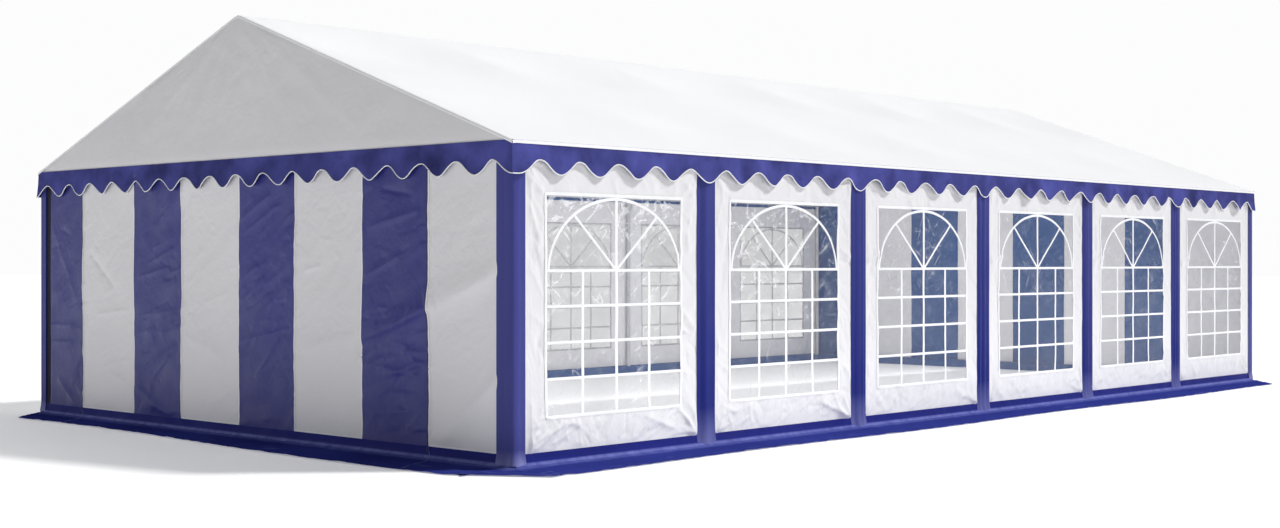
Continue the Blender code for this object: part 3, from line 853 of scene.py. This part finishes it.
def gable(end):
    """The white triangle between the roof and the valance, with faint folds from its apex."""
    seed = 900 if end == "front" else 920
    foot = 2.10
    apex = RIDGE_TOP - 0.006
    rows = spaced([foot, apex], 0.035)
    shares = np.linspace(-1, 1, 121)
    share, v = np.meshgrid(shares, rows)
    half = np.minimum((apex - v) / ROOF_FALL, EDGE_Y - 0.006)
    u = share * half
    height = 0.0040 * noise(u, v, 0.8, seed) + 0.0020 * noise(u, v, 0.3, seed + 1)
    height += 0.0016 * crumple(u, v, 0.20, seed + 2, 0.6, 1.8)
    for number in range(7):
        angle = -math.pi / 2 + (number - 3) * 0.33
        reach = 1.1 / max(0.55, abs(math.sin(angle)))
        finish = (reach * math.cos(angle), apex + reach * math.sin(angle))
        height += crease(u, v, (0.0, apex), finish, 0.0035, 0.05)
    height += scattered(u, v, seed + 5, 26, (-2.2, 2.2), (2.2, 3.0), 2.6, 0.5, 0.7, 0.0030, 0.03)
    edge = smooth_step((1 - np.abs(share)) * half / 0.15) * smooth_step((apex - v) / 0.2)
    edge = edge * smooth_step((v - 2.20) / 0.25)
    out = EDGE_X - 0.0045 + height * edge - 0.012 * smooth_step((foot + 0.14 - v) / 0.10)
    piece = outer(f"gable_sheet_{end}", end, world(end, u, out, v), gable_pvc, "white_pvc",
                  f"gable_{end}")


# Roof

def roof_profile(across):
    """Height of the roof's fold line at a distance from the ridge, rounded over the ridge."""
    soft = 0.02
    return RIDGE_TOP - ROOF_FALL * (np.sqrt(across ** 2 + soft ** 2) - soft * 0.35)


def roof():
    """One sheet over ridge and purlins, a little slack between the tubes, turned down all round."""
    lip = 0.022
    columns = spaced([-EDGE_X, -EDGE_X + 0.03, EDGE_X - 0.03, EDGE_X], 0.05)
    across = spaced([-EDGE_Y, -EDGE_Y + 0.03, -PURLIN_Y, 0.0, PURLIN_Y, EDGE_Y - 0.03, EDGE_Y],
                    0.042)
    u, v = np.meshgrid(columns, across)
    bay = np.abs(np.sin(math.pi * u / BAY)) ** 1.3
    belly = np.sin(math.pi * np.abs(v) / PURLIN_Y) ** 2
    inside = smooth_step((EDGE_X - np.abs(u)) / 0.3) * smooth_step((EDGE_Y - np.abs(v)) / 0.25)
    upper = 0.55 + 0.45 * smooth_step((PURLIN_Y + 0.1 - np.abs(v)) / 0.2)
    ridge = smooth_step(np.abs(v) / 0.4)
    sag = (0.042 * bay * belly * upper + 0.006 * belly + 0.006 * bay * ridge) * inside
    height = 0.0028 * noise(u, v, 0.7, 960) + 0.0016 * crumple(u, v, 0.30, 961, 0.2, 1.6)
    height += scattered(u, v, 963, 90, (-5.9, -2.9), (5.9, 2.9), 1.57, 0.7, 0.8, 0.0020, 0.04)
    up = roof_profile(v) - sag + height * inside * ridge * 0.8
    up = up - 0.0035 * smooth_step((np.abs(u) - EDGE_X + 0.03) / 0.03)
    up = up - 0.0020 * smooth_step((np.abs(v) - EDGE_Y + 0.03) / 0.03)
    grids = [np.stack([u, v, up], -1)]
    for axis, place in ((0, 0), (0, -1), (1, 0), (1, -1)):
        edge = np.take(grids[0], place, axis=axis)
        steps = []
        for turn in np.linspace(0, 1, 5):
            row = edge.copy()
            grow = 0.004 * math.sin(turn * math.pi / 2)
            row[:, 1 - axis] += np.sign(edge[:, 1 - axis]) * grow
            row[:, 2] -= lip * turn ** 1.5
            steps.append(row)
        grids.append(np.stack(steps))
    piece = mesh_object("roof_sheet", *grid_parts(grids), roof_pvc)
    finished(piece, "white_pvc", "roof_cover")


roof()
for end in ENDS:
    gable(end)


# Valance

# Top of the valance, its middle depth, and how much the scallops add and take away
VALANCE_TOP = ROOF_EDGE - 0.010
SCALLOP_DEPTH = 0.166
SCALLOP_SWING = 0.0485


def valance(side):
    """A scalloped blue strip under the roof's edge, with billows and a white piping."""
    long_side = side in SIDES
    half = EDGE_X if long_side else EDGE_Y
    base = EDGE_Y if long_side else EDGE_X
    seed = 1000 + 10 * AROUND.index(side)
    pitch = BAY / 5 if long_side else 2 * EDGE_Y / 17
    phase = HALF_LENGTH if long_side else EDGE_Y
    u = spaced([-half, half], 0.0205)
    wave = np.cos(2 * math.pi * np.maximum(0.0, phase - np.abs(u)) / pitch)
    uneven = noise(u, 0 * u, 0.31, seed + 9) * smooth_step((half - np.abs(u)) / 0.1)
    foot = VALANCE_TOP + 0.002 - SCALLOP_DEPTH - SCALLOP_SWING * wave + 0.003 * uneven
    top = VALANCE_TOP + 0.012
    share = np.linspace(0, 1, 13)[:, None]
    v = top - share * (top - foot)
    lean = 0.012 * share ** 2 - 0.0010
    along = u + np.sign(u) * smooth_step((np.abs(u) - half + 0.12) / 0.12) * lean
    free = smooth_step(share * 1.3) * smooth_step((half - np.abs(u)) / 0.1)
    height = 0.0190 * noise(along, 0.35 * v, 0.27, seed) * free
    height += 0.0110 * noise(along, 0.7 * v, 0.13, seed + 1) * free
    out = base + lean + height
    points = world(side, along, out, v)
    piece = outer(f"valance_sheet_{side}", side, points[::-1], valance_pvc, "blue_pvc",
                  f"valance_{side}")
    rim = points[-1]
    run = np.gradient(rim, axis=0)
    run /= np.linalg.norm(run, axis=1, keepdims=True)
    normal = world(side, 0.0, 1.0, 0.0)
    edge = np.cross(run, normal)
    rings = []
    for turn in np.linspace(0, 2 * math.pi, 7):
        rings.append(rim + 0.0047 * math.sin(turn) * edge + 0.0040 * math.cos(turn) * normal)
    piping = grid_object(f"piping_{side}", np.stack(rings), hem_pvc)
    finished(piping, "white_pvc")


for side in AROUND:
    valance(side)


# Post covers and corner covers

COVER_TOP = 2.12


def flare(v):
    """How far the foot of a cover stands out over the foot band and the skirt."""
    return 0.013 * np.clip((0.10 - v) / 0.066, 0, 1) ** 1.3


def pleats(across, v, seed):
    """Soft folds that run up a cover, drifting a little from side to side."""
    dice = np.random.default_rng(seed)
    total = np.zeros(np.broadcast(across, v).shape)
    for _ in range(5):
        centre = dice.uniform(-0.8, 0.8) + 0.10 * noise(v, 0 * v, 0.9, int(dice.integers(9999)))
        width = dice.uniform(0.10, 0.24)
        total = total + dice.uniform(-0.0060, 0.0060) * np.exp(-((across - centre) / width) ** 2)
    return total


def post_cover(side, number):
    """A pleated strip over one post, opening out at its foot."""
    seed = 1100 + 10 * number + 5 * SIDES.index(side)
    half = 0.1075
    share, v = np.meshgrid(np.linspace(-1, 1, 25), spaced([0.036, 0.32, COVER_TOP], 0.026))
    waist = half * (1 + 0.03 * noise(v, 0 * v, 0.6, seed)) + 0.006 * np.clip(1 - v / 0.2, 0, 1)
    along = panel_start(number) + share * waist
    bulge = (0.0095 + 0.003 * noise(v, 0 * v, 0.8, seed + 1)) * np.cos(math.pi * share / 2) ** 1.5
    out = HALF_WIDTH + COVER_OFFSET + bulge + pleats(share, v, seed + 2) * (1 - share ** 4)
    out = out + flare(v) * (0.92 + 0.08 * np.cos(math.pi * share))
    up = v - 0.012 * np.clip(1 - v / 0.15, 0, 1) * np.cos(math.pi * share / 2)
    piece = outer(f"cover_sheet_{side}_{number}", side, world(side, along, out, up), cover_pvc,
                  "blue_pvc", f"post_cover_{side}_{number}")


def corner(end, side):
    """The signs of x and y at a corner of the tent, and a number for its random draws."""
    x_sign = -1 if end == "front" else 1
    y_sign = -1 if side == "right" else 1
    return x_sign, y_sign, 10 * ENDS.index(end) + 5 * SIDES.index(side)


def corner_cover(end, side):
    """A strip bent round a corner post, opening out at its foot, narrow at the front left."""
    x_sign, y_sign, order = corner(end, side)
    seed = 1300 + order
    stand = 0.037
    radius = 0.022
    side_lap = 0.086
    end_lap = 0.060 if end == "front" and side == "left" else 0.114
    side_length = side_lap + stand - radius
    end_length = end_lap + stand - radius
    arc = radius * math.pi / 2
    total = side_length + arc + end_length
    place = spaced([0.0, side_length, side_length + arc, total], 0.007)
    bend = np.clip((place - side_length) / arc, 0, 1) * math.pi / 2
    line_x = np.minimum(place, side_length) - side_lap + radius * np.sin(bend)
    line_y = stand - radius + radius * np.cos(bend) - np.maximum(0, place - side_length - arc)
    v = spaced([0.028, 0.32, COVER_TOP], 0.026)[:, None]
    share = (place / total * 2 - 1)[None, :]
    lift = np.abs(pleats(share, v, seed)) * (1 - share ** 6) * 0.45 + flare(v) * 0.95
    lean = (bend[None, :] + (share + 0.1) * 0.25).clip(0, math.pi / 2)
    x = line_x[None, :] + lift * np.sin(lean)
    y = line_y[None, :] + lift * np.cos(lean)
    points = np.stack([x_sign * (HALF_LENGTH + x), y_sign * (HALF_WIDTH + y),
                       np.broadcast_to(v, x.shape)], -1)
    piece = grid_object(f"corner_sheet_{end}_{side}", points, corner_pvc,
                        flip=x_sign * y_sign > 0)
    finished(piece, "blue_pvc", f"corner_cover_{end}_{side}")


for side in SIDES:
    for number in range(1, BAYS):
        post_cover(side, number)
    for end in ENDS:
        corner_cover(end, side)


# Skirt

# Shares of the skirt's width where the foot band ends and where the skirt lies flat, and how far
# out from the post axes that is
BAND_SHARE = 0.27
FLAT_SHARE = 0.46
FLAT_OUT = 0.175

# The straight cut of two corners: its start along the side, its depth there, and its slope
SIDE_CUT = (5.66, 0.415, 0.855)
END_CUT = (2.774, 0.410, 1.170)


def side_reach(along):
    """How far the skirt of a long side reaches out, a little wavy as in the photograph."""
    return 0.44 + 0.03 * np.cos(2 * math.pi * (along + HALF_LENGTH) / 4.5)


def end_reach(along):
    """How far the skirt of an end reaches out."""
    return 0.46 - 0.085 * np.sin(2 * math.pi * along / 7.0)


def skirt_heights(share, reach, s, seed):
    """Distance outwards and height of a skirt's cross-section, from the wall to its edge."""
    profile = ((0.0, COVER_OFFSET, 0.100), (0.05, 0.0350, 0.084), (0.10, 0.0355, 0.068),
               (0.14, 0.0370, 0.057), (0.18, 0.0405, 0.046), (0.22, 0.0470, 0.035),
               (BAND_SHARE, 0.0600, 0.022), (0.33, 0.0900, 0.011), (0.40, 0.1300, 0.0060),
               (FLAT_SHARE, FLAT_OUT, 0.0045))
    stops, outs, heights = zip(*profile)
    tight = np.minimum(1.0, (reach - COVER_OFFSET) / 0.2)
    out = COVER_OFFSET + (np.interp(share, stops, outs) - COVER_OFFSET) * tight
    up = np.interp(share, stops, heights)
    flat = np.clip((share - FLAT_SHARE) / (1 - FLAT_SHARE), 0, 1)
    out = out + flat * (reach - COVER_OFFSET - (FLAT_OUT - COVER_OFFSET) * tight)
    lift = np.maximum(0.0, noise(s, 9 * flat, 0.33, seed)) * flat * (1.35 - flat)
    up = up + 0.016 * lift + 0.0060 * np.maximum(0, noise(s, out, 0.12, seed + 1)) * flat
    up = up + 0.0030 * noise(s, 2.0 * out, 0.16, seed + 2) * smooth_step(share / 0.2) * (1 - flat)
    return out, up


def skirt_surface(side, s, share):
    """Place of a side's skirt at a distance along the side and a share of its width."""
    seed = 1400 + 10 * AROUND.index(side)
    half, base = SPAN[side]
    turned = s if side in NEAR else -s
    reach = side_reach(turned) if side in SIDES else end_reach(turned)
    reach = reach + 0.007 * noise(s, 0 * s, 0.19, seed + 5) + 0.007 * noise(s, 0 * s, 0.06, seed + 6)
    reach = reach - 0.05 * np.exp(-((half - 0.05 - np.abs(s)) / 0.05) ** 2)
    start, depth, slope = SIDE_CUT if side in SIDES else END_CUT
    out, up = skirt_heights(share, np.minimum(reach, depth - slope * (turned - start)), s, seed)
    return base + out, up


def side_skirt(side):
    """Foot band and skirt of one side, between its two corner patches."""
    half, base = SPAN[side]
    columns = spaced([-half - 0.02, half + 0.02], 0.025)
    share = np.concatenate([np.linspace(0, BAND_SHARE, 15), np.linspace(0.3, FLAT_SHARE, 6),
                            np.linspace(0.5, 1, 9)])
    s, t = np.meshgrid(columns, share)
    out, up = skirt_surface(side, s, t)
    points = world(side, s, out, up)
    band_rows = int(np.argmin(np.abs(share - BAND_SHARE))) + 1
    band = outer(f"foot_band_{side}", side, points[:band_rows][::-1], band_pvc, "blue_pvc")
    piece = outer(f"skirt_{side}", side, points[band_rows - 1:][::-1], skirt_pvc, "blue_pvc",
                  "ground_skirt")
    lap = np.array(((0.030, 0.099), (-0.005, 0.096), (-0.022, 0.086), (-0.031, 0.062),
                    (-0.033, 0.004)))
    along = spaced([-half + 0.035, half - 0.035], 0.06)[None, :]
    wave = 0.002 * noise(along, 40 * lap[:, 1:], 0.4, 1460)
    lapped = world(side, along, base + lap[:, :1] + wave, lap[:, 1:])
    # The foot band's paler inner lip: painted light of daylight through it
    inside = painted_glow_sheet(f"foot_band_{side}_inside", side, lapped[::-1])


def skirt_seam(end, start):
    """A pale welded seam across the skirt, from the foot of a zip out to the edge."""
    share = np.linspace(0.02, 0.99, 60)
    strips = []
    for shift, rise in ((-0.003, 0.0006), (-0.002, 0.0018), (0.002, 0.0018), (0.003, 0.0006)):
        s = start - 0.26 * share ** 1.5 + shift
        out, up = skirt_surface(end, s, share)
        strips.append(world(end, s, out, up + rise))
    name = "left" if start > 0 else "right"
    seam = grid_object(f"skirt_seam_{end}_{name}", np.stack(strips), seam_pvc)
    finished(seam, "blue_pvc")


def corner_skirt(end, side):
    """A patch that closes the skirt at a corner, squared or cut straight across."""
    x_sign, y_sign, order = corner(end, side)
    seed = 1500 + order
    if x_sign * y_sign > 0:
        edge = np.array([(HALF_LENGTH - 0.07, HALF_WIDTH + 0.44),
                         (HALF_LENGTH + 0.10, HALF_WIDTH + 0.47),
                         (HALF_LENGTH + 0.50, HALF_WIDTH - 0.10),
                         (HALF_LENGTH + 0.46, HALF_WIDTH - 0.07)])
    else:
        edge = np.array([(SIDE_CUT[0], HALF_WIDTH + SIDE_CUT[1]),
                         (HALF_LENGTH + END_CUT[1], END_CUT[0])])
    lengths = np.concatenate([[0], np.cumsum(np.linalg.norm(np.diff(edge, axis=0), axis=1))])
    s = np.linspace(0, lengths[-1], 45)
    rim = np.stack([np.interp(s, lengths, edge[:, 0]), np.interp(s, lengths, edge[:, 1])], -1)
    turn = np.linspace(0, 1, 45)
    bend = turn * math.pi / 2
    core = np.stack([HALF_LENGTH + 0.030 * np.sin(bend), HALF_WIDTH + 0.030 * np.cos(bend)], -1)
    core -= 0.07 * np.stack([1 - turn, turn], -1) ** 3
    share = np.concatenate([np.linspace(0.06, FLAT_SHARE, 13), np.linspace(0.5, 1, 9)])[:, None]
    reach = np.linalg.norm(rim - core, axis=1)
    away = (rim - core) / (reach - COVER_OFFSET)[:, None]
    out, up = skirt_heights(share + 0 * s, reach, s[None, :] + 0 * share, seed)
    plan = core[None] + away[None] * (out - COVER_OFFSET)[..., None]
    points = np.stack([x_sign * plan[..., 0], y_sign * plan[..., 1], up + 0.0025], -1)
    piece = grid_object(f"skirt_corner_{end}_{side}", points, skirt_pvc,
                        flip=x_sign * y_sign < 0)
    finished(piece, "blue_pvc", "ground_skirt")


for side in AROUND:
    side_skirt(side)
for end in ENDS:
    for side in SIDES:
        corner_skirt(end, side)
    for place in (SEAMS[1], SEAMS[-2]):
        skirt_seam(end, place)


# Steel

for name, node in frame["nodes"].items():
    if name.startswith(("side_frame", "rafter_pair", "ridge_tube", "purlin", "ground_bar")):
        node.data.materials.clear()
        node.data.materials.append(steel)


# Stage, lights and camera

def stage_floor():
    look = Shading("floor", 0.75)
    tone = look.mixed(look.noise(0.15, 2.0), (0.94, 0.94, 0.94), (0.96, 0.96, 0.96))
    look.surface({"Base Color": tone, "Emission Color": (1.0, 1.0, 1.0, 1.0),
                  "Emission Strength": 0.25})
    size = 150.0
    corners = [(-size, -size, -0.001), (size, -size, -0.001), (size, size, -0.001),
               (-size, size, -0.001)]
    floor = mesh_object("floor", corners, [(0, 1, 2, 3)], look.material)


def sky():
    """A plain studio, pale behind the tent and dimmer on all other sides."""
    backdrop = bpy.data.worlds.new("studio")
    backdrop.use_nodes = True
    tree = backdrop.node_tree
    place = tree.nodes.new("ShaderNodeTexCoord")
    towards = tree.nodes.new("ShaderNodeVectorMath")
    towards.operation = "DOT_PRODUCT"
    towards.inputs[1].default_value = (0.709, 0.705, 0.0)
    ramp = tree.nodes.new("ShaderNodeValToRGB")
    ramp.color_ramp.interpolation = "EASE"
    ramp.color_ramp.elements[0].position = 0.40
    ramp.color_ramp.elements[0].color = (0.205, 0.21, 0.22, 1.0)
    ramp.color_ramp.elements[1].position = 0.88
    ramp.color_ramp.elements[1].color = (0.98, 0.98, 0.985, 1.0)
    tree.links.new(place.outputs["Generated"], towards.inputs[0])
    tree.links.new(towards.outputs["Value"], ramp.inputs["Fac"])
    tree.links.new(ramp.outputs["Color"], tree.nodes["Background"].inputs["Color"])
    bpy.context.scene.world = backdrop


def lamp(name, kind, energy, place, towards, glossy):
    """A light of one kind at a place, shining in one direction."""
    light = bpy.data.lights.new(name, kind)
    light.energy = energy
    item = bpy.data.objects.new(name, light)
    item.location = place
    item.rotation_mode = "QUATERNION"
    item.rotation_quaternion = Vector(towards).to_track_quat("-Z", "Y")
    item.visible_glossy = glossy
    bpy.context.scene.collection.objects.link(item)
    return item


def sun():
    item = lamp("sun", "SUN", 2.76, (0.0, 0.0, 0.0), (-1.05, 0.90, -1.40), False)
    item.data.angle = math.radians(7.0)


def soft_box(name, place, target, wide, tall, energy, glossy=False):
    """A soft rectangle of light at a place, turned to a target, and unseen itself."""
    item = lamp(name, "AREA", energy, place, Vector(target) - Vector(place), glossy)
    item.visible_camera = False
    item.data.shape = "RECTANGLE"
    item.data.size = wide
    item.data.size_y = tall


def camera():
    """The photograph's camera; its heading is counted in degrees from +X."""
    heading = 44.8625
    eye = bpy.data.cameras.new("camera")
    eye.sensor_width = 36.0
    eye.lens = 48.61
    eye.shift_x = 0.0937
    eye.shift_y = -0.0020
    eye.clip_end = 400.0
    item = bpy.data.objects.new("camera", eye)
    item.location = (-14.0896, -11.1236, 1.3832)
    item.rotation_euler = (math.pi / 2, 0.0, math.radians(heading - 90.0))
    bpy.context.scene.collection.objects.link(item)
    bpy.context.scene.camera = item


bpy.context.scene.view_settings.view_transform = "Standard"
stage_floor()
sky()
sun()
soft_box("side_fill", (-9.5, 7.5, 1.6), (-6.0, 1.0, 1.2), 4.5, 4.5, 16.0, glossy=True)
soft_box("front_foot_fill", (-8.8, 0.6, 0.30), (-6.0, 0.4, 0.30), 6.5, 0.5, 14.0)
soft_box("side_foot_fill", (0.0, -3.95, 0.13), (0.0, -3.0, 0.20), 11.8, 0.2, 17.0)

# The glow of daylight that comes through the fabric
soft_box("inner_glow", (0.0, 0.0, 0.02), (0.0, 0.0, 1.0), 10.5, 4.0, 80.0)
soft_box("left_inner_glow", (0.0, 0.4, 0.3), (0.0, 3.0, 0.3), 11.0, 0.4, 21.0)
soft_box("right_inner_glow", (0.0, -0.4, 0.3), (0.0, -3.0, 0.3), 11.0, 0.4, 21.0)
camera()

bpy.context.view_layer.update()
